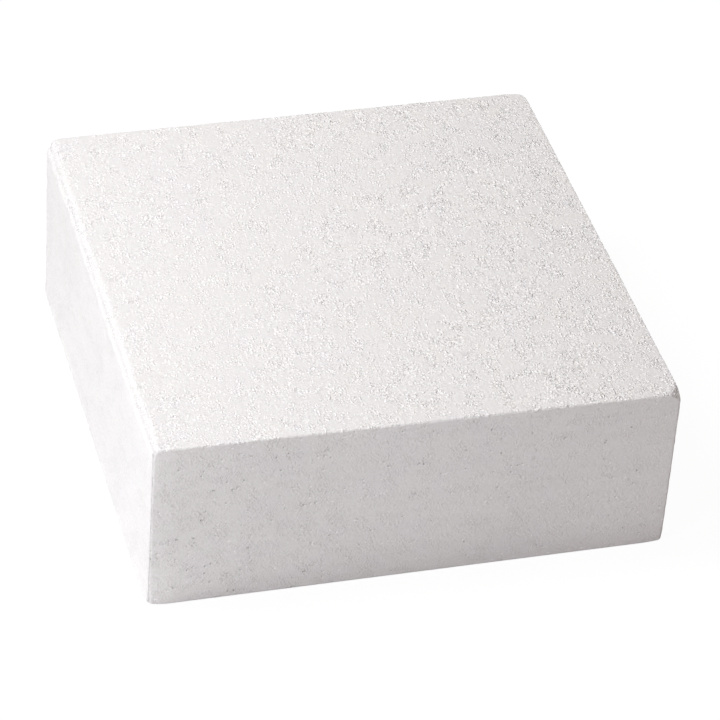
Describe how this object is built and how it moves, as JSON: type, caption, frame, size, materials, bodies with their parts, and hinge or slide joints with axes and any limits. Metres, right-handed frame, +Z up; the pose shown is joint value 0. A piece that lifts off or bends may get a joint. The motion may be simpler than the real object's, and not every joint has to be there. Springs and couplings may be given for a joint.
{
  "type": "dry foam block",
  "caption": "Square white slab of rigid granular foam with flat cut sides and one softly rounded top edge; takes stems, picks and pins.",
  "frame": {"origin": "centre of the base, on the surface that the block stands on", "axes": "+Z up through the thickness, -Y towards the front face, -X towards the side with the rounded top edge"},
  "size_m": [0.2032, 0.2032, 0.0762],
  "materials": {
    "foam": "matte white foam: open sugary grain on the top face, finer hot-wire-cut sides with scattered pits"
  },
  "bodies": {
    "root": {"foam_block": "foam"}
  },
  "joints": []
}
